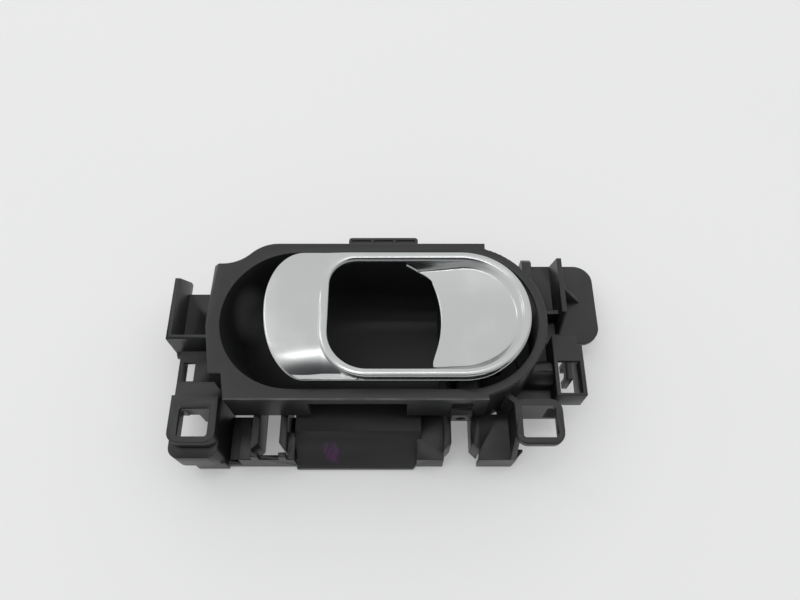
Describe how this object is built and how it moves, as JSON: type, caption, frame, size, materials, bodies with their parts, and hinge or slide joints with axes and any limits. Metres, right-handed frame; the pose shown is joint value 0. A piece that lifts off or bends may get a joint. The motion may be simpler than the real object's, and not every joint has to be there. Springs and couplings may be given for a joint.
{
  "type": "car interior door handle",
  "caption": "Inside door release handle: a satin silver pull lever with a finger ring and thumb dish, sprung and hinged over a long cup in a black moulded carrier.",
  "frame": {"origin": "centre of the finger cup, on the flat outside of its bottom, which is the plane the handle lies on", "axes": "+X along the cup towards the hinge end, +Y towards the top tab, +Z out of the handle's face"},
  "size_m": [0.1621, 0.0848, 0.0416],
  "materials": {
    "black_plastic": "fine grained satin black moulding",
    "satin_silver": "satin silver",
    "arm_plastic": "plain black moulding",
    "steel": "bright zinc",
    "spring_steel": "drawn wire",
    "rubber": "black rubber"
  },
  "bodies": {
    "housing": {"housing": "black_plastic", "hinge_pin": "steel", "pin_clip": "steel", "return_spring": "spring_steel", "rest_buffers": "rubber", "stop_buffer": "rubber"},
    "lever": {"lever": "satin_silver", "lever_arm": "arm_plastic", "arm_screws": "steel"}
  },
  "joints": [
    {"name": "lever_hinge", "type": "hinge", "parent": "housing", "child": "lever", "pos_m": [0.031, 0, 0.0301], "axis": [0, 1, 0], "range_deg": [0, 45], "stiffness_Nm_per_rad": 0.15, "springref_deg": -17.19, "deforming": ["return_spring"]}
  ]
}
